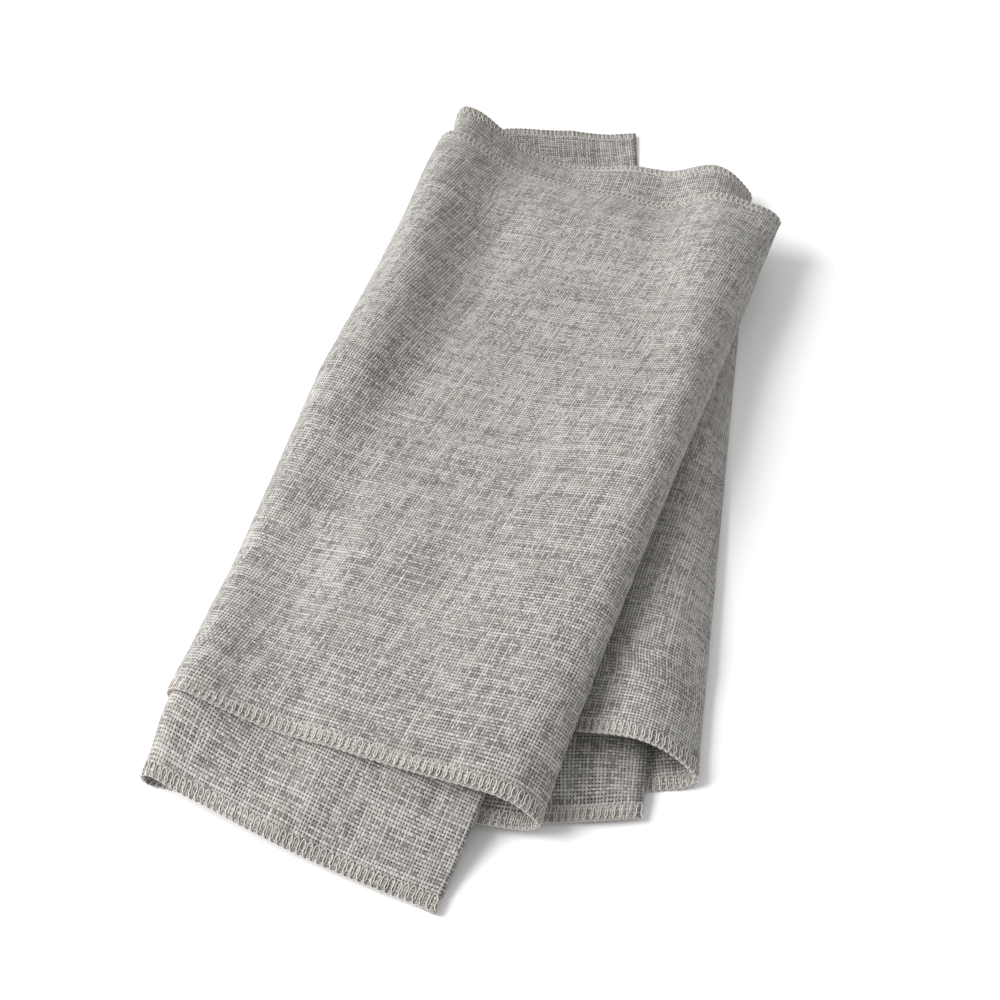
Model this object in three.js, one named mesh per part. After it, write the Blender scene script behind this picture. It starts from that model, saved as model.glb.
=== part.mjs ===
// A woven table runner, folded back and forth in ten layers and laid down loosely.
// Millimetres, +Z up. X runs across the folds, +Y runs along them, away from the viewer.
// The origin is the middle of the bounding box, on the table.

import * as THREE from "three";

// The cloth

const CLOTH_THICKNESS = 1;
const LAYER_PITCH = 2.3; // height of one layer of the pile, cloth and air
const LOWEST_MIDDLE = CLOTH_THICKNESS / 2; // the bottom layer lies flat on the table
const CLOTH_COLOUR = 0xa5a29b;
const CLOTH_ROUGHNESS = 0.95;

// How finely the cloth is divided along the strip, and where the lines along it lie across its width

const PANEL_STEPS = { upper: 20, lower: 12 }; // the flat lower layers need fewer
const LAST_UPPER_LAYER = 7;
const TURN_STEPS = { wide: 8, tight: 5 };
const WIDEST_TIGHT_NOSE = 3;
const ACROSS = [0, 0.04, 0.09, 0.15, 0.22, 0.31, 0.42, 0.55, 0.68, 0.8, 0.91, 1];

// The path of the strip. Each row is one turn of the cloth, or one of its two cut ends.
// front and back are where the outermost line of the turn meets the two long edges, seen from above.
// nose is how far the rounded turn reaches beyond the two flat panels that it joins.
// swing is how far the turn swings out to the left, first at its front end and then in its middle.
// slip is how much nearer the viewer the front end of the panel before the turn lies.
// layer is the panel that the strip goes on to, counted down from the top of the pile,
// and bow is how far the front edge of that panel swells towards the viewer.

const TURNS = [
  {
    name: "first end", nose: 0, swing: [0, 0], slip: 0,
    layer: 7, bow: 6, front: [40.5, -157], back: [91, 129],
  },
  {
    name: "left roll", nose: 5, swing: [2, 0], slip: 1,
    layer: 2, bow: 2, front: [-116.5, -144], back: [-35, 139],
  },
  {
    name: "front fold", nose: 2, swing: [0, 0], slip: 0,
    layer: 3, bow: 2, front: [-24, -187.5], back: [95.5, 81.5],
  },
  {
    name: "inner fold", nose: 2, swing: [0, 0], slip: 0,
    layer: 4, bow: 0, front: [-80.5, -151], back: [20.5, 125.5],
  },
  {
    name: "top right", nose: 9, swing: [0, 0], slip: 0,
    layer: 1, bow: 2, front: [8, -162.5], back: [118.5, 116],
  },
  {
    name: "top left", nose: 8, swing: [0, 3], slip: 6,
    layer: 10, bow: 0, front: [-112, -116.5], back: [-34, 163],
  },
  {
    name: "low right", nose: 2, swing: [0, 0], slip: 0,
    layer: 9, bow: 0, front: [22, -137], back: [48, 155],
  },
  {
    name: "low left", nose: 2, swing: [0, 0], slip: 0,
    layer: 8, bow: 6, front: [-53, -141], back: [-25.5, 152],
  },
  {
    name: "right roll", nose: 12, swing: [0, 0], slip: 4,
    layer: 5, bow: 0, front: [59, -142.5], back: [112.5, 153],
  },
  {
    name: "hump", nose: 5, swing: [0, 0], slip: 0,
    layer: 6, bow: 0, front: [-66, -104], back: [-24.5, 185.5],
  },
  {
    name: "last end", nose: 0, swing: [0, 0], slip: 0,
    layer: 0, bow: 0, front: [54, -93], back: [63, 208],
  },
];

const TIGHTEST_RADIUS = 1; // at the tip of a rounded turn
const FRONT_FADE = 0.06; // share of the width over which a front end's swing and slip fade

// The soft ridges of the pile. Each lifts the layers from the top down to its own along a line of
// points, by the rise given third at each point, fading over width to either side.

const RIDGES = [
  {
    name: "left ridge of the top", layer: 1, width: 20,
    line: [[-104, -110, 1], [-86, -50, 12], [-66, 20, 23], [-29, 150, 0]],
  },
  {
    name: "right ridge of the top", layer: 1, width: 32,
    line: [[-2, -158, 7], [45, -30, 10], [103, 113, 6]],
  },
  { name: "front of the left ridge", layer: 4, width: 20, line: [[-108, -126, 10], [-98, -92, 8]] },
  {
    name: "front of the top", layer: 4, width: 24,
    line: [[-98, -124, 11], [-64, -138, 5], [-20, -152, 2]],
  },
  { name: "back of the top", layer: 1, width: 26, line: [[10, 130, 3], [80, 125, 3]] },
  { name: "far end of the top right", layer: 4, width: 22, line: [[98, 70, 5], [118, 112, 13]] },
  { name: "right roll", layer: 5, width: 16, line: [[42, -139, 10], [67, 0, 7], [94, 155, 11]] },
  {
    name: "back of the right roll", layer: 5, width: 22,
    line: [[30, 172, 0], [70, 165, 7], [100, 158, 6]],
  },
  { name: "hump", layer: 5, width: 20, line: [[-46, 40, 6], [-35, 100, 12], [-22, 184, 19]] },
  { name: "last end", layer: 6, width: 15, line: [[0, 196, 3], [30, 203, 6], [50, 208, 2]] },
  { name: "under the hump", layer: 6, width: 32, line: [[-25, 110, 0], [-8, 190, 13]] },
];

const SHELF = 2; // how far past a layer's edge the layers above it stay up
const FADE = 26; // and the distance over which they then come down

// Soft steps

function softStep(value) {
  const t = Math.min(1, Math.max(0, value));
  return t * t * (3 - 2 * t);
}

function mix(a, b, t) {
  return a + (b - a) * t;
}

// The outline of each layer, seen from above: the two turns at its ends give its four corners

function layerOutline(layer) {
  const last = TURNS.findIndex((turn, row) => row > 0 && TURNS[row - 1].layer === layer);
  const ends = [TURNS[last - 1], TURNS[last]];
  ends.sort((one, other) => one.front[0] - other.front[0]);
  const [left, right] = ends;
  return [left.front, right.front, right.back, left.back];
}

const LAYERS = TURNS.length - 1;
const OUTLINES = [];
for (let layer = 1; layer <= LAYERS; layer += 1) {
  OUTLINES[layer] = layerOutline(layer);
}

// How far a point lies outside an outline that runs anticlockwise; negative inside it

function outsideOf(outline, x, y) {
  let farthest = -Infinity;
  outline.forEach(([startX, startY], corner) => {
    const [endX, endY] = outline[(corner + 1) % outline.length];
    const length = Math.hypot(endX - startX, endY - startY);
    const out = ((x - startX) * (endY - startY) - (y - startY) * (endX - startX)) / length;
    farthest = Math.max(farthest, out);
  });
  return farthest;
}

// The rise of one ridge over a point, taken from the nearest place on its line

function ridgeRise(ridge, x, y) {
  let nearest = Infinity;
  let rise = 0;
  for (let point = 1; point < ridge.line.length; point += 1) {
    const [startX, startY, startRise] = ridge.line[point - 1];
    const [endX, endY, endRise] = ridge.line[point];
    const alongX = endX - startX;
    const alongY = endY - startY;
    const share = ((x - startX) * alongX + (y - startY) * alongY) / (alongX ** 2 + alongY ** 2);
    const t = Math.min(1, Math.max(0, share));
    const away = Math.hypot(x - mix(startX, endX, t), y - mix(startY, endY, t));
    if (away < nearest) {
      nearest = away;
      rise = mix(startRise, endRise, t);
    }
  }
  return rise * Math.exp(-((nearest / ridge.width) ** 2));
}

// The height of a layer over a point: it lies on the layers that reach under it, and on the ridges

function heightOf(layer, x, y) {
  let height = LOWEST_MIDDLE;
  for (let under = layer + 1; under <= LAYERS; under += 1) {
    height += LAYER_PITCH * (1 - softStep((outsideOf(OUTLINES[under], x, y) - SHELF) / FADE));
  }
  for (const ridge of RIDGES) {
    if (layer <= ridge.layer) {
      height += ridgeRise(ridge, x, y);
    }
  }
  return height;
}

// The strip, as lines across the cloth one after another. Every place in it lies between two turns,
// at t of the way from the front edge of the cloth to its back edge.

function turnAt(turn, t) {
  const [atFront, inMiddle] = turn.swing;
  const swing = atFront * Math.exp(-t / FRONT_FADE) + 4 * t * (1 - t) * inMiddle;
  return [mix(turn.front[0], turn.back[0], t) - swing, mix(turn.front[1], turn.back[1], t)];
}

function slipAt(turn, t) {
  return turn.slip * Math.exp(-t / FRONT_FADE);
}

// How far a turn reaches beyond its panels: less where they lie close, so that its tip stays round

function reachAt(row, t) {
  const turn = TURNS[row];
  if (turn.nose === 0) {
    return 0;
  }
  const [x, y] = turnAt(turn, t);
  const gap = Math.abs(heightOf(TURNS[row - 1].layer, x, y) - heightOf(turn.layer, x, y));
  return Math.min(turn.nose, (gap / 2) ** 2 / TIGHTEST_RADIUS);
}

// The point at a distance from one place towards another

function towards(from, to, distance) {
  const length = Math.hypot(to[0] - from[0], to[1] - from[1]);
  return [mix(from[0], to[0], distance / length), mix(from[1], to[1], distance / length)];
}

// A point of the cloth between two layers, turned from 0 on the one to 1 on the other

function clothPoint(x, y, from, to, turned) {
  return new THREE.Vector3(x, y, mix(heightOf(from, x, y), heightOf(to, x, y), turned));
}

// A place on the panel between one turn and the next, along of the way

function placeOnPanel(row, along, t) {
  const here = TURNS[row];
  const next = TURNS[row + 1];
  const start = towards(turnAt(here, t), turnAt(next, t), reachAt(row, t));
  const stop = towards(turnAt(next, t), turnAt(here, t), reachAt(row + 1, t));
  const swell = 4 * along * (1 - along) * here.bow * (1 - t);
  const x = mix(start[0], stop[0], along);
  const y = mix(start[1], stop[1], along) - swell - along ** 2 * slipAt(next, t);
  return clothPoint(x, y, here.layer, here.layer, 0);
}

// A place on the round of a turn, angle of the way around its half circle

function placeOnTurn(row, angle, t) {
  const turn = TURNS[row];
  const neighbour = TURNS[angle < Math.PI / 2 ? row - 1 : row + 1];
  const inset = reachAt(row, t) * (1 - Math.sin(angle));
  const [x, y] = towards(turnAt(turn, t), turnAt(neighbour, t), inset);
  const turned = (1 - Math.cos(angle)) / 2;
  return clothPoint(x, y - (1 - turned) * slipAt(turn, t), TURNS[row - 1].layer, turn.layer, turned);
}

// The middle of the cloth's thickness, panel after panel with the turns between them

function middleSurface() {
  const lines = [];
  for (let row = 0; row < LAYERS; row += 1) {
    const steps = TURNS[row].layer <= LAST_UPPER_LAYER ? PANEL_STEPS.upper : PANEL_STEPS.lower;
    for (let step = 0; step <= steps; step += 1) {
      lines.push(ACROSS.map((t) => placeOnPanel(row, step / steps, t)));
    }
    if (row < LAYERS - 1) {
      const turnSteps = TURNS[row + 1].nose < WIDEST_TIGHT_NOSE ? TURN_STEPS.tight : TURN_STEPS.wide;
      for (let step = 1; step < turnSteps; step += 1) {
        lines.push(ACROSS.map((t) => placeOnTurn(row + 1, (Math.PI * step) / turnSteps, t)));
      }
    }
  }
  return lines;
}

// The cloth as one closed sheet: the middle surface, moved half the thickness to either side

function buildCloth() {
  const middle = middleSurface();
  const rows = middle.length;
  const columns = ACROSS.length;
  const positions = [];
  const half = CLOTH_THICKNESS / 2;
  for (const side of [1, -1]) {
    middle.forEach((line, row) => {
      line.forEach((point, column) => {
        const along = new THREE.Vector3().subVectors(
          middle[Math.min(rows - 1, row + 1)][column],
          middle[Math.max(0, row - 1)][column],
        );
        const across = new THREE.Vector3().subVectors(
          line[Math.min(columns - 1, column + 1)],
          line[Math.max(0, column - 1)],
        );
        const normal = along.cross(across).normalize();
        positions.push(...point.clone().addScaledVector(normal, side * half).toArray());
      });
    });
  }
  const index = [];
  const at = (side, row, column) => (side * rows + row) * columns + column;
  const quad = (a, b, c, d) => index.push(a, b, c, a, c, d);
  for (let row = 0; row < rows - 1; row += 1) {
    for (let column = 0; column < columns - 1; column += 1) {
      quad(at(0, row, column), at(0, row + 1, column), at(0, row + 1, column + 1), at(0, row, column + 1));
      quad(at(1, row, column), at(1, row, column + 1), at(1, row + 1, column + 1), at(1, row + 1, column));
    }
    const last = columns - 1;
    quad(at(0, row, 0), at(1, row, 0), at(1, row + 1, 0), at(0, row + 1, 0));
    quad(at(0, row, last), at(0, row + 1, last), at(1, row + 1, last), at(1, row, last));
  }
  for (let column = 0; column < columns - 1; column += 1) {
    const last = rows - 1;
    quad(at(0, 0, column), at(0, 0, column + 1), at(1, 0, column + 1), at(1, 0, column));
    quad(at(0, last, column), at(1, last, column), at(1, last, column + 1), at(0, last, column + 1));
  }
  const geometry = new THREE.BufferGeometry();
  geometry.setAttribute("position", new THREE.Float32BufferAttribute(positions, 3));
  geometry.setIndex(index);
  return geometry;
}

const geometry = buildCloth();
geometry.computeBoundingBox();
const box = geometry.boundingBox;
geometry.translate(-(box.min.x + box.max.x) / 2, -(box.min.y + box.max.y) / 2, -box.min.z);
geometry.computeVertexNormals();

const burlap = new THREE.MeshStandardMaterial({
  color: CLOTH_COLOUR,
  roughness: CLOTH_ROUGHNESS,
  metalness: 0,
  side: THREE.DoubleSide,
});

const runner = new THREE.Mesh(geometry, burlap);
runner.name = "runner";

const group = new THREE.Group();
group.add(runner);

export default group;
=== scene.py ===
import bisect
import math

import bmesh
import bpy
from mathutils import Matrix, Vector


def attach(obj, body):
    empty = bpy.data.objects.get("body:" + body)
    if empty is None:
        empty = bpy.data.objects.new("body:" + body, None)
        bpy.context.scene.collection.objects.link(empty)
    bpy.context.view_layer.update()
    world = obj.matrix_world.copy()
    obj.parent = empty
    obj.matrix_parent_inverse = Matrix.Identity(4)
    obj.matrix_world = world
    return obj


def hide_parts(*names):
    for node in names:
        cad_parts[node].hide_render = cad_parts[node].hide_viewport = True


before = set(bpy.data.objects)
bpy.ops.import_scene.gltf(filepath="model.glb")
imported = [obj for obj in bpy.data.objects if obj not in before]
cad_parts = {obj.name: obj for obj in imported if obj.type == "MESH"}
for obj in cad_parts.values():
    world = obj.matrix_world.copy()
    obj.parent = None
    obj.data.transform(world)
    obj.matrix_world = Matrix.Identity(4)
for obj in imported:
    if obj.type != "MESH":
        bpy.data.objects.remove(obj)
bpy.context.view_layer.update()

# THE CLOTH
# One long strip of coarse melange cloth, folded back and forth in ten layers and laid down loosely.
# It is a thin sheet on the folds of its solid: flat panels joined by round turns, over the soft ridges
# of the pile. The path's lengths are millimetres as seen from above, and cloth_point gives metres.

MM = 0.001
CLOTH_WIDTH = 0.30
CLOTH_THICKNESS = 0.9 * MM
LAYER_PITCH = 2.3
LOWEST_MIDDLE = 0.5
BOX_MIDDLE = (0.0, 10.17)  # of the pile, in the tables' own places

# One row for each turn of the strip or cut end: how far its round reaches past the two panels,
# how far it swings out to the left at its front end and in its middle, how much nearer the viewer
# the panel before it ends, how far the threads lean from it, the layer of the panel after it, how far
# that panel's front edge swells and where the turn meets the front and the back edge of the cloth.

TURNS = [
    dict(name="first end", nose=0, swing=(0, 0), slip=0, skew=-0.03, layer=7, bow=6,
         front=(40.5, -157), back=(91, 129)),
    dict(name="left roll", nose=5, swing=(2, 0), slip=1, skew=-0.134, layer=2, bow=2,
         front=(-116.5, -144), back=(-35, 139)),
    dict(name="front fold", nose=2, swing=(0, 0), slip=0, skew=0.0, layer=3, bow=2,
         front=(-24, -187.5), back=(95.5, 81.5)),
    dict(name="inner fold", nose=2, swing=(0, 0), slip=0, skew=0.066, layer=4, bow=0,
         front=(-80.5, -151), back=(20.5, 125.5)),
    dict(name="top right", nose=9, swing=(0, 0), slip=0, skew=0.097, layer=1, bow=2,
         front=(8, -162.5), back=(118.5, 116)),
    dict(name="top left", nose=8, swing=(0, 3), slip=6, skew=0.204, layer=10, bow=0,
         front=(-112, -116.5), back=(-34, 163)),
    dict(name="low right", nose=2, swing=(0, 0), slip=0, skew=0.03, layer=9, bow=0,
         front=(22, -137), back=(48, 155)),
    dict(name="low left", nose=2, swing=(0, 0), slip=0, skew=0.025, layer=8, bow=6,
         front=(-53, -141), back=(-25.5, 152)),
    dict(name="right roll", nose=12, swing=(0, 0), slip=4, skew=0.112, layer=5, bow=0,
         front=(59, -142.5), back=(112.5, 153)),
    dict(name="hump", nose=5, swing=(0, 0), slip=0, skew=0.145, layer=6, bow=0,
         front=(-66, -104), back=(-24.5, 185.5)),
    dict(name="last end", nose=0, swing=(0, 0), slip=0, skew=0.045, layer=0, bow=0,
         front=(54, -93), back=(63, 208)),
]
LAYERS = len(TURNS) - 1
TIGHTEST_RADIUS = 1  # at the tip of a round turn
FRONT_FADE = 0.06  # share of the width over which a front end's swing and slip fade

# One row for each soft ridge: the lowest layer that it lifts, its width, and its line of points,
# each with its rise.

RIDGES = [
    dict(name="left ridge of the top", layer=1, width=20,
         line=[(-104, -110, 1), (-86, -50, 12), (-66, 20, 23), (-29, 150, 0)]),
    dict(name="right ridge of the top", layer=1, width=32,
         line=[(-2, -158, 7), (45, -30, 10), (103, 113, 6)]),
    dict(name="front of the left ridge", layer=4, width=20,
         line=[(-108, -126, 10), (-98, -92, 8)]),
    dict(name="front of the top", layer=4, width=24,
         line=[(-98, -124, 11), (-64, -138, 5), (-20, -152, 2)]),
    dict(name="back of the top", layer=1, width=26,
         line=[(10, 130, 3), (80, 125, 3)]),
    dict(name="far end of the top right", layer=4, width=22,
         line=[(98, 70, 5), (118, 112, 13)]),
    dict(name="right roll", layer=5, width=16,
         line=[(42, -139, 10), (67, 0, 7), (94, 155, 11)]),
    dict(name="back of the right roll", layer=5, width=22,
         line=[(30, 172, 0), (70, 165, 7), (100, 158, 6)]),
    dict(name="hump", layer=5, width=20,
         line=[(-46, 40, 6), (-35, 100, 12), (-22, 184, 19)]),
    dict(name="last end", layer=6, width=15,
         line=[(0, 196, 3), (30, 203, 6), (50, 208, 2)]),
    dict(name="under the hump", layer=6, width=32,
         line=[(-25, 110, 0), (-8, 190, 13)]),
]
SHELF = 2  # how far past a layer's edge the layers above it stay up
FADE = 26  # and the distance over which they then come down


def mix(a, b, t):
    return a + (b - a) * t


def soft_step(value):
    t = min(1, max(0, value))
    return t * t * (3 - 2 * t)


def outline_of(layer):
    last = next(row for row in range(1, LAYERS + 1) if TURNS[row - 1]["layer"] == layer)
    left, right = sorted([TURNS[last - 1], TURNS[last]], key=lambda turn: turn["front"][0])
    return [left["front"], right["front"], right["back"], left["back"]]


def sides_of(outline):
    sides = []
    for corner, (start_x, start_y) in enumerate(outline):
        end_x, end_y = outline[(corner + 1) % len(outline)]
        length = math.hypot(end_x - start_x, end_y - start_y)
        sides.append((start_x, start_y, (end_x - start_x) / length, (end_y - start_y) / length))
    return sides


OUTLINES = {layer: sides_of(outline_of(layer)) for layer in range(1, LAYERS + 1)}


def outside_of(layer, x, y):
    return max((x - sx) * dy - (y - sy) * dx for sx, sy, dx, dy in OUTLINES[layer])


def ridge_rise(ridge, x, y):
    nearest, rise = math.inf, 0
    for (sx, sy, s_rise), (ex, ey, e_rise) in zip(ridge["line"], ridge["line"][1:]):
        share = ((x - sx) * (ex - sx) + (y - sy) * (ey - sy)) / ((ex - sx) ** 2 + (ey - sy) ** 2)
        t = min(1, max(0, share))
        away = math.hypot(x - mix(sx, ex, t), y - mix(sy, ey, t))
        if away < nearest:
            nearest, rise = away, mix(s_rise, e_rise, t)
    return rise * math.exp(-((nearest / ridge["width"]) ** 2))


def height_of(layer, x, y):
    height = LOWEST_MIDDLE
    for under in range(layer + 1, LAYERS + 1):
        height += LAYER_PITCH * (1 - soft_step((outside_of(under, x, y) - SHELF) / FADE))
    for ridge in RIDGES:
        if layer <= ridge["layer"]:
            height += ridge_rise(ridge, x, y)
    return height


# Every place in the strip lies between two turns, at t of the way from its front edge to its back.


def turn_at(turn, t):
    at_front, in_middle = turn["swing"]
    swing = at_front * math.exp(-t / FRONT_FADE) + 4 * t * (1 - t) * in_middle
    return mix(turn["front"][0], turn["back"][0], t) - swing, mix(turn["front"][1], turn["back"][1], t)


def slip_at(turn, t):
    return turn["slip"] * math.exp(-t / FRONT_FADE)


def reach_at(row, t):
    turn = TURNS[row]
    if turn["nose"] == 0:
        return 0
    x, y = turn_at(turn, t)
    gap = abs(height_of(TURNS[row - 1]["layer"], x, y) - height_of(turn["layer"], x, y))
    return min(turn["nose"], (gap / 2) ** 2 / TIGHTEST_RADIUS)


def towards(start, end, distance):
    share = distance / math.hypot(end[0] - start[0], end[1] - start[1])
    return mix(start[0], end[0], share), mix(start[1], end[1], share)


def cloth_point(x, y, before, after, turned):
    z = mix(height_of(before, x, y), height_of(after, x, y), turned)
    return Vector((x - BOX_MIDDLE[0], y - BOX_MIDDLE[1], z)) * MM


def place_on_panel(row, along, t):
    here, following = TURNS[row], TURNS[row + 1]
    start = towards(turn_at(here, t), turn_at(following, t), reach_at(row, t))
    stop = towards(turn_at(following, t), turn_at(here, t), reach_at(row + 1, t))
    swell = 4 * along * (1 - along) * here["bow"] * (1 - t) + along ** 2 * slip_at(following, t)
    return cloth_point(mix(start[0], stop[0], along), mix(start[1], stop[1], along) - swell,
                       here["layer"], here["layer"], 0)


def place_on_turn(row, around, t):
    turn = TURNS[row]
    angle = math.pi * around
    neighbour = TURNS[row - 1 if around < 0.5 else row + 1]
    inset = reach_at(row, t) * (1 - math.sin(angle))
    x, y = towards(turn_at(turn, t), turn_at(neighbour, t), inset)
    turned = (1 - math.cos(angle)) / 2
    return cloth_point(x, y - (1 - turned) * slip_at(turn, t), TURNS[row - 1]["layer"], turn["layer"], turned)


# The strip's lines across the cloth: one every few millimetres of a panel, and eight round each turn.

PANEL_STEP = 4.0
TURN_STEPS = 8
COLUMNS = 76

lines, panels = [], []
for row in range(LAYERS):
    here, following = TURNS[row], TURNS[row + 1]
    panel_length = (Vector(turn_at(following, 0.5)) - Vector(turn_at(here, 0.5))).length
    steps = round(panel_length / PANEL_STEP)
    panels.append((len(lines), len(lines) + steps))
    lines += [(place_on_panel, row, step / steps) for step in range(steps + 1)]
    if row < LAYERS - 1:
        lines += [(place_on_turn, row + 1, step / TURN_STEPS) for step in range(1, TURN_STEPS)]

across = [column / COLUMNS for column in range(COLUMNS + 1)]
middle = [[place(row, share, t) for t in across] for place, row, share in lines]

# How far along the strip each point lies, measured along its own column of points

lengths = [[0.0] * (COLUMNS + 1)]
for before, after in zip(middle, middle[1:]):
    lengths.append([length + (q - p).length for length, p, q in zip(lengths[-1], before, after)])

# The threads: on a turn they carry straight on from the higher of its two panels, and where a panel
# meets a turn they lie straight, at the turn's own lean. Each panel spreads them between its two ends.


def straight(line, turn):
    return [lengths[line][COLUMNS // 2] + turn["skew"] * (t - 0.5) * CLOTH_WIDTH for t in across]


threads = {0: straight(0, TURNS[0]), len(lines) - 1: straight(len(lines) - 1, TURNS[-1])}
for row in range(1, LAYERS):
    end, start = panels[row - 1][1], panels[row][0]
    held = end if TURNS[row - 1]["layer"] < TURNS[row]["layer"] else start
    held_threads = straight(held, TURNS[row])
    for line in range(end, start + 1):
        beyond = [there - here for there, here in zip(lengths[line], lengths[held])]
        threads[line] = [place + extra for place, extra in zip(held_threads, beyond)]
for first, last in panels:
    for line in range(first + 1, last):
        share = (line - first) / (last - first)
        threads[line] = [mix(start, stop, share) for start, stop in zip(threads[first], threads[last])]

strip = bmesh.new()
bmesh.ops.create_grid(strip, x_segments=len(lines) - 1, y_segments=COLUMNS, size=0.5)
weave_map = strip.loops.layers.uv.new("weave")
for vert in strip.verts:
    line = round((vert.co.x + 0.5) * (len(lines) - 1))
    column = round((vert.co.y + 0.5) * COLUMNS)
    vert.co = middle[line][column]
    for loop in vert.link_loops:
        loop[weave_map].uv = (threads[line][column], column / COLUMNS * CLOTH_WIDTH)
for face in strip.faces:
    face.smooth = True

cloth_mesh = bpy.data.meshes.new("cloth")
strip.to_mesh(cloth_mesh)
strip.free()
cloth = bpy.data.objects.new("cloth", cloth_mesh)
bpy.context.collection.objects.link(cloth)
thickness = cloth.modifiers.new("thickness", "SOLIDIFY")
thickness.thickness = CLOTH_THICKNESS
thickness.offset = 0

# The weave: light slubby threads in two directions, one over and one under, with painted shade, nearly black,
# in the gaps between.
# U runs along the strip and V across it, both in metres.

THREAD_PITCH_ALONG = 1.05 * MM
THREAD_PITCH_ACROSS = 1.128 * MM
THREAD_LIGHT = (0.475, 0.457, 0.430, 1)
THREAD_DARK = (0.186, 0.180, 0.172, 1)
THREAD_BEIGE = (0.380, 0.340, 0.293, 1)
# Painted shade in the gaps between the threads, nearly black, and lighter within the hems
PAINTED_GAP_SHADE = (0.014, 0.014, 0.014, 1)
PAINTED_HEM_GAP_SHADE = (0.12, 0.112, 0.103, 1)  # lighter painted gap shade where the sewing draws the threads together
HEM_DEPTH = 5.1 * MM

burlap = bpy.data.materials.new("melange burlap weave")
burlap.use_nodes = True
tree = burlap.node_tree
tree.nodes.clear()


def link(value, socket):
    if isinstance(value, bpy.types.NodeSocket):
        tree.links.new(value, socket)
    else:
        socket.default_value = value


def maths(operation, first, second=0.0):
    node = tree.nodes.new("ShaderNodeMath")
    node.operation = operation
    for value, socket in zip((first, second), node.inputs):
        link(value, socket)
    return node.outputs[0]


def vector(x, y, z=0.0):
    node = tree.nodes.new("ShaderNodeCombineXYZ")
    for value, socket in zip((x, y, z), node.inputs):
        link(value, socket)
    return node.outputs[0]


def noise(place, detail=0.0):
    node = tree.nodes.new("ShaderNodeTexNoise")
    node.noise_dimensions = "3D"
    link(place, node.inputs["Vector"])
    node.inputs["Scale"].default_value = 1.0
    node.inputs["Detail"].default_value = detail
    return node.outputs[0]


def remap(value, low, high, to_low=0.0, to_high=1.0):
    node = tree.nodes.new("ShaderNodeMapRange")
    for item, socket in zip((value, low, high, to_low, to_high), node.inputs):
        link(item, socket)
    return node.outputs[0]


def blend(share, first, second):
    node = tree.nodes.new("ShaderNodeMix")
    node.data_type = "RGBA"
    for value, name in ((share, "Factor"), (first, "A"), (second, "B")):
        link(value, node.inputs[name])
    return node.outputs["Result"]


uv = tree.nodes.new("ShaderNodeUVMap")
uv.uv_map = "weave"
parts = tree.nodes.new("ShaderNodeSeparateXYZ")
tree.links.new(uv.outputs[0], parts.inputs[0])
u, v = parts.outputs[0], parts.outputs[1]

WANDER = 0.5  # thread pitches between the two ends of a thread's straying
STRAYS_ACROSS = 260  # changes a metre from thread to thread
STRAYS_ALONG = 60  # and along a thread


def scaled(along_rate, across_rate, seed=0.0):
    return vector(maths("MULTIPLY", u, along_rate), maths("MULTIPLY", v, across_rate), seed)


wander_along = noise(scaled(STRAYS_ACROSS, STRAYS_ALONG))
wander_across = noise(scaled(STRAYS_ALONG, STRAYS_ACROSS, 7.0))


def thread_place(distance, pitch, wander):
    """Which thread a place is on, and how far it lies off the thread's middle, in pitches."""
    stray = maths("MULTIPLY", maths("SUBTRACT", wander, 0.5), WANDER)
    place = maths("ADD", maths("DIVIDE", distance, pitch), stray)
    number = maths("FLOOR", place)
    return number, maths("SUBTRACT", maths("SUBTRACT", place, number), 0.5)


weft_number, off_weft = thread_place(u, THREAD_PITCH_ALONG, wander_along)
warp_number, off_warp = thread_place(v, THREAD_PITCH_ACROSS, wander_across)
parity = maths("PINGPONG", maths("ADD", weft_number, warp_number), 1.0)
warp_over = maths("SUBTRACT", 1.0, maths("MULTIPLY", parity, 2.0))


THREAD_SPREAD = 13.7  # sets the noise of two neighbouring threads far apart
SLUB_RATE = 130  # changes of a thread's width in each metre of it
THINNEST, THICKEST = 0.27, 0.41  # half a thread's width, in pitches
WAVE_SHARE, ROUND_SHARE, BASE_SHARE = 0.27, 0.40, 0.33  # of a thread's height
THREAD_SIDE = 4.0  # how steeply a thread rises from the gap


def along_thread(number, distance, rate, seed, detail=0.0):
    """Noise that changes along a thread at a rate for each metre, and is another for each thread."""
    spread = vector(maths("MULTIPLY", number, THREAD_SPREAD), maths("MULTIPLY", distance, rate), seed)
    return noise(spread, detail)


def thread_height(off, number, over, other_off, distance, seed):
    """The height of a thread's round top, from 0 to 1, and nothing beside the thread."""
    half_width = remap(along_thread(number, distance, SLUB_RATE, seed), 0.3, 0.7, THINNEST, THICKEST)
    across = maths("DIVIDE", off, half_width)
    rounded = maths("SQRT", maths("MAXIMUM", maths("SUBTRACT", 1.0, maths("MULTIPLY", across, across)), 0.0))
    wave = maths("MULTIPLY", over, maths("COSINE", maths("MULTIPLY", other_off, math.pi)))
    lifted = maths("ADD", maths("MULTIPLY", wave, WAVE_SHARE), maths("MULTIPLY", rounded, ROUND_SHARE))
    on_thread = maths("MINIMUM", maths("MULTIPLY", rounded, THREAD_SIDE), 1.0)
    return maths("MULTIPLY", maths("ADD", lifted, BASE_SHARE), on_thread)


warp_height = thread_height(off_warp, warp_number, warp_over, off_weft, u, 3.3)
weft_height = thread_height(off_weft, weft_number, maths("MULTIPLY", warp_over, -1.0), off_warp, v, 8.3)
height = maths("MAXIMUM", warp_height, weft_height)
warp_on_top = maths("GREATER_THAN", warp_height, weft_height)


OWN_RATE, MOTTLE_RATE, BEIGE_RATE = 22, 240, 60  # changes of colour in each metre of a thread
OWN_SHARE, MOTTLE_SHARE = 0.4, 0.6
DARK_BELOW, LIGHT_ABOVE = 0.375, 0.565
MOST_BEIGE = 0.6


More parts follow.
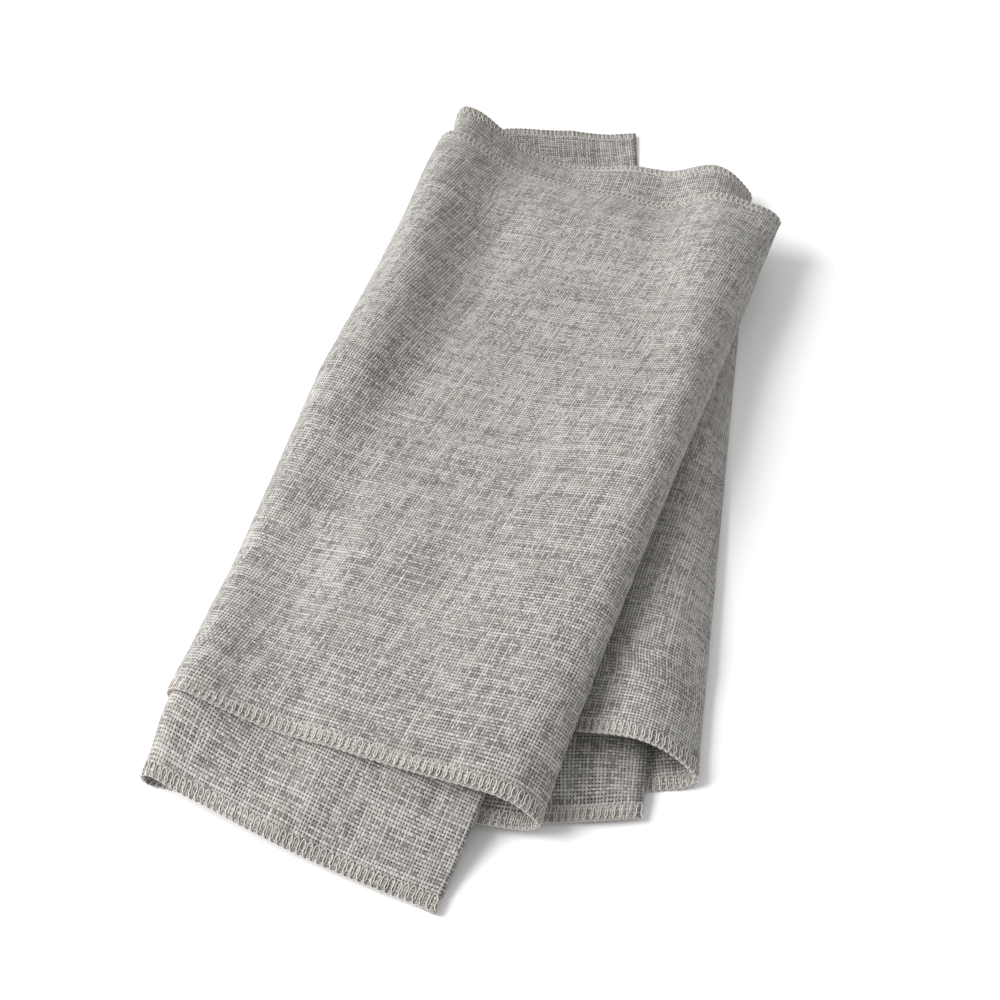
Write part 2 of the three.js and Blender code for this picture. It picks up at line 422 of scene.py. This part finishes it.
def thread_colour(number, distance, seed):
    """Each thread has its own grey, mottled along it by the blend of its fibres."""
    own = maths("MULTIPLY", along_thread(number, distance, OWN_RATE, seed), OWN_SHARE)
    mottle = maths("MULTIPLY", along_thread(number, distance, MOTTLE_RATE, seed + 3, 1.0), MOTTLE_SHARE)
    grey = remap(maths("ADD", own, mottle), DARK_BELOW, LIGHT_ABOVE)
    beige = remap(along_thread(number, distance, BEIGE_RATE, seed + 5), 0.55, 0.75, 0.0, MOST_BEIGE)
    return blend(beige, blend(grey, THREAD_DARK, THREAD_LIGHT), THREAD_BEIGE)


thread = blend(warp_on_top, thread_colour(weft_number, v, 1.0), thread_colour(warp_number, u, 21.0))

# Broad patches are a little darker at random, and each thread gets painted shade where it dips under the next
# one

BLACK = (0.0, 0.0, 0.0, 1)
PATCH_RATE = 60  # changes a metre
PATCH_SHADE = 0.09
# the painted shade on a thread where it dips lowest under the next one
PAINTED_DIP_SHADE = 0.55
GAP_TOP, THREAD_FOOT = 0.04, 0.30  # heights between which the painted gap shade gives way to the thread's colour
THREAD_CROWN = 0.80

patches = noise(scaled(PATCH_RATE, PATCH_RATE, 2.0), 2)
thread = blend(remap(patches, 0.35, 0.65, PATCH_SHADE, 0.0), thread, BLACK)
# Painted shade on each thread's low parts, deepest where it dips under the next one
thread = blend(remap(height, THREAD_FOOT, THREAD_CROWN, PAINTED_DIP_SHADE, 0.0), thread, BLACK)
from_edge = maths("MINIMUM", v, maths("SUBTRACT", CLOTH_WIDTH, v))
# The gaps get painted shade, a little lighter within the hems
gap = blend(remap(from_edge, 0.8 * HEM_DEPTH, HEM_DEPTH), PAINTED_HEM_GAP_SHADE, PAINTED_GAP_SHADE)
colour = blend(remap(height, GAP_TOP, THREAD_FOOT), gap, thread)

RELIEF = 0.40 * MM  # of the threads over the gaps
FIBRE_RATE = 5200
FIBRE_SHARE = 0.10  # of the relief

fibres = noise(scaled(FIBRE_RATE, FIBRE_RATE), 2)
bump = tree.nodes.new("ShaderNodeBump")
bump.inputs["Strength"].default_value = 1.0
bump.inputs["Distance"].default_value = RELIEF
link(maths("ADD", height, maths("MULTIPLY", fibres, FIBRE_SHARE)), bump.inputs["Height"])

shader = tree.nodes.new("ShaderNodeBsdfPrincipled")
shader.inputs["Roughness"].default_value = 0.92
shader.inputs["Specular IOR Level"].default_value = 0.2
shader.inputs["Sheen Weight"].default_value = 0.15
shader.inputs["Sheen Roughness"].default_value = 0.6
tree.links.new(colour, shader.inputs["Base Color"])
tree.links.new(bump.outputs[0], shader.inputs["Normal"])
surface = tree.nodes.new("ShaderNodeOutputMaterial")
tree.links.new(shader.outputs[0], surface.inputs[0])
cloth_mesh.materials.append(burlap)

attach(cloth, "root")
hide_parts("runner")

# THE OVERLOCK STITCHING
# Both long edges are overlocked with a fine beige thread. On each face its loops stand side by side,
# and at the cut edge they cross and lock round a thread that covers it.

STITCH_PITCH = 2.3 * MM
STITCH_DEPTH = HEM_DEPTH
STITCH_THREAD_RADIUS = 0.19 * MM
STITCH_STAND_OFF = CLOTH_THICKNESS / 2 + 0.06 * MM
STITCH_COLOUR = (0.545, 0.511, 0.468, 1)
INNER_COLUMNS = 2  # from the edge to the column of points that shows the way inwards

# The way of the thread in one stitch. Each point gives its share of the pitch along the edge, its share
# of the depth in from the edge and its lift off the cloth in thread radii.

LOOP = [(-0.20, 0.02, 0.0), (0.06, 0.16, 0.0), (0.20, 0.34, 0.0), (0.10, 0.56, 0.1), (0.12, 0.80, 0.3),
        (0.32, 0.97, 0.6), (0.60, 0.97, 0.8), (0.82, 0.80, 0.9), (0.86, 0.56, 1.0), (0.78, 0.34, 1.3),
        (0.94, 0.16, 1.4), (1.20, 0.02, 0.8)]
EDGE_COVER = [(0.00, 0.015, -1.0), (0.25, -0.01, -1.6), (0.50, 0.015, -1.0), (0.75, 0.04, -0.6)]

stitch_thread = bpy.data.materials.new("overlock thread")
stitch_thread.use_nodes = True
stitch_shader = stitch_thread.node_tree.nodes["Principled BSDF"]
stitch_shader.inputs["Base Color"].default_value = STITCH_COLOUR
stitch_shader.inputs["Roughness"].default_value = 0.85
stitch_shader.inputs["Sheen Weight"].default_value = 0.2


def edge_way(line, column):
    after, before = middle[min(len(lines) - 1, line + 1)][column], middle[max(0, line - 1)][column]
    return (after - before).normalized()


def edge_frame(column, distance):
    """The place at a distance along one long edge, with the ways inwards and up from the cloth."""
    reached = edge_lengths[column]
    line = min(len(lines) - 2, max(0, bisect.bisect_right(reached, distance) - 1))
    share = (distance - reached[line]) / (reached[line + 1] - reached[line])
    inner_column = INNER_COLUMNS if column == 0 else COLUMNS - INNER_COLUMNS
    edge = middle[line][column].lerp(middle[line + 1][column], share)
    inner = middle[line][inner_column].lerp(middle[line + 1][inner_column], share)
    way = edge_way(line, column).lerp(edge_way(line + 1, column), share)
    inwards = (inner - edge).normalized()
    up = way.cross(inwards).normalized()
    return edge, inwards, up if column == 0 else -up


def sew(curve, column, face_side, stitch_way):
    """One thread of the overlock on one face, stitch after stitch along one long edge."""
    points = []
    for stitch in range(int(edge_lengths[column][-1] / STITCH_PITCH)):
        for along, inwards_share, lift in stitch_way:
            edge, inwards, up = edge_frame(column, (stitch + along) * STITCH_PITCH)
            rise = face_side * (STITCH_STAND_OFF + lift * STITCH_THREAD_RADIUS)
            point = edge + inwards * inwards_share * STITCH_DEPTH + up * rise
            point.z = max(point.z, STITCH_THREAD_RADIUS)  # the table presses the lowest stitches in
            points.append(point)
    spline = curve.splines.new("POLY")
    spline.points.add(len(points) - 1)
    spline.points.foreach_set("co", [value for point in points for value in (*point, 1.0)])


edge_lengths = {column: [line[column] for line in lengths] for column in (0, COLUMNS)}
for name, column in (("front_overlock", 0), ("back_overlock", COLUMNS)):
    sewing = bpy.data.curves.new(name, "CURVE")
    sewing.dimensions = "3D"
    sewing.bevel_depth = STITCH_THREAD_RADIUS
    sewing.bevel_resolution = 0
    sewing.use_fill_caps = True
    for face_side in (1, -1):
        for stitch_way in (LOOP, EDGE_COVER):
            sew(sewing, column, face_side, stitch_way)
    threads_drawn = bpy.data.objects.new(name + " threads", sewing)
    mesh = bpy.data.meshes.new_from_object(threads_drawn)
    bpy.data.objects.remove(threads_drawn)
    mesh.materials.clear()
    mesh.materials.append(stitch_thread)
    for polygon in mesh.polygons:
        polygon.use_smooth = True
    piece = bpy.data.objects.new(name, mesh)
    bpy.context.collection.objects.link(piece)
    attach(piece, "root")

# THE STUDIO
# A plain pale floor under the pile, a soft light from the upper left and pale light from all around,
# and the camera in front of the pile, looking down on it.

FLOOR_SIZE = 6.0
FLOOR_COLOUR = (0.90, 0.90, 0.90, 1)
floor_bm = bmesh.new()
bmesh.ops.create_grid(floor_bm, x_segments=1, y_segments=1, size=FLOOR_SIZE / 2)
floor_mesh = bpy.data.meshes.new("floor")
floor_bm.to_mesh(floor_mesh)
floor_bm.free()
floor = bpy.data.objects.new("floor", floor_mesh)
bpy.context.collection.objects.link(floor)
floor_paint = bpy.data.materials.new("pale floor")
floor_paint.use_nodes = True
floor_paint.node_tree.nodes["Principled BSDF"].inputs["Base Color"].default_value = FLOOR_COLOUR
floor_paint.node_tree.nodes["Principled BSDF"].inputs["Roughness"].default_value = 0.9
floor_mesh.materials.append(floor_paint)

PALE_LIGHT = 0.66
world = bpy.data.worlds.new("pale studio")
world.use_nodes = True
world.node_tree.nodes["Background"].inputs["Color"].default_value = (1, 1, 1, 1)
world.node_tree.nodes["Background"].inputs["Strength"].default_value = PALE_LIGHT
bpy.context.scene.world = world

SOFT_LIGHT_PLACE = Vector((-1.25, 0.0, 1.05))
SOFT_LIGHT_WATTS = 41
SOFT_LIGHT_SIZE = 1.0
soft_light_data = bpy.data.lights.new("soft light", "AREA")
soft_light_data.energy = SOFT_LIGHT_WATTS
soft_light_data.size = SOFT_LIGHT_SIZE
soft_light = bpy.data.objects.new("soft light", soft_light_data)
soft_light.location = SOFT_LIGHT_PLACE
soft_light.rotation_euler = (-SOFT_LIGHT_PLACE).to_track_quat("-Z", "Y").to_euler()
bpy.context.collection.objects.link(soft_light)

CAMERA_PLACE = (-0.0040, -0.3502, 0.3820)
CAMERA_DIPS = 50.5  # degrees below the horizon
FOCAL_SHARE = 1.3  # of the picture's width
SENSOR_WIDTH = 36
camera_data = bpy.data.cameras.new("camera")
camera_data.sensor_width = SENSOR_WIDTH
camera_data.lens = FOCAL_SHARE * SENSOR_WIDTH
camera = bpy.data.objects.new("camera", camera_data)
camera.location = CAMERA_PLACE
camera.rotation_euler = (math.radians(90 - CAMERA_DIPS), 0, 0)
bpy.context.collection.objects.link(camera)
bpy.context.scene.camera = camera
bpy.context.scene.view_settings.view_transform = "Standard"
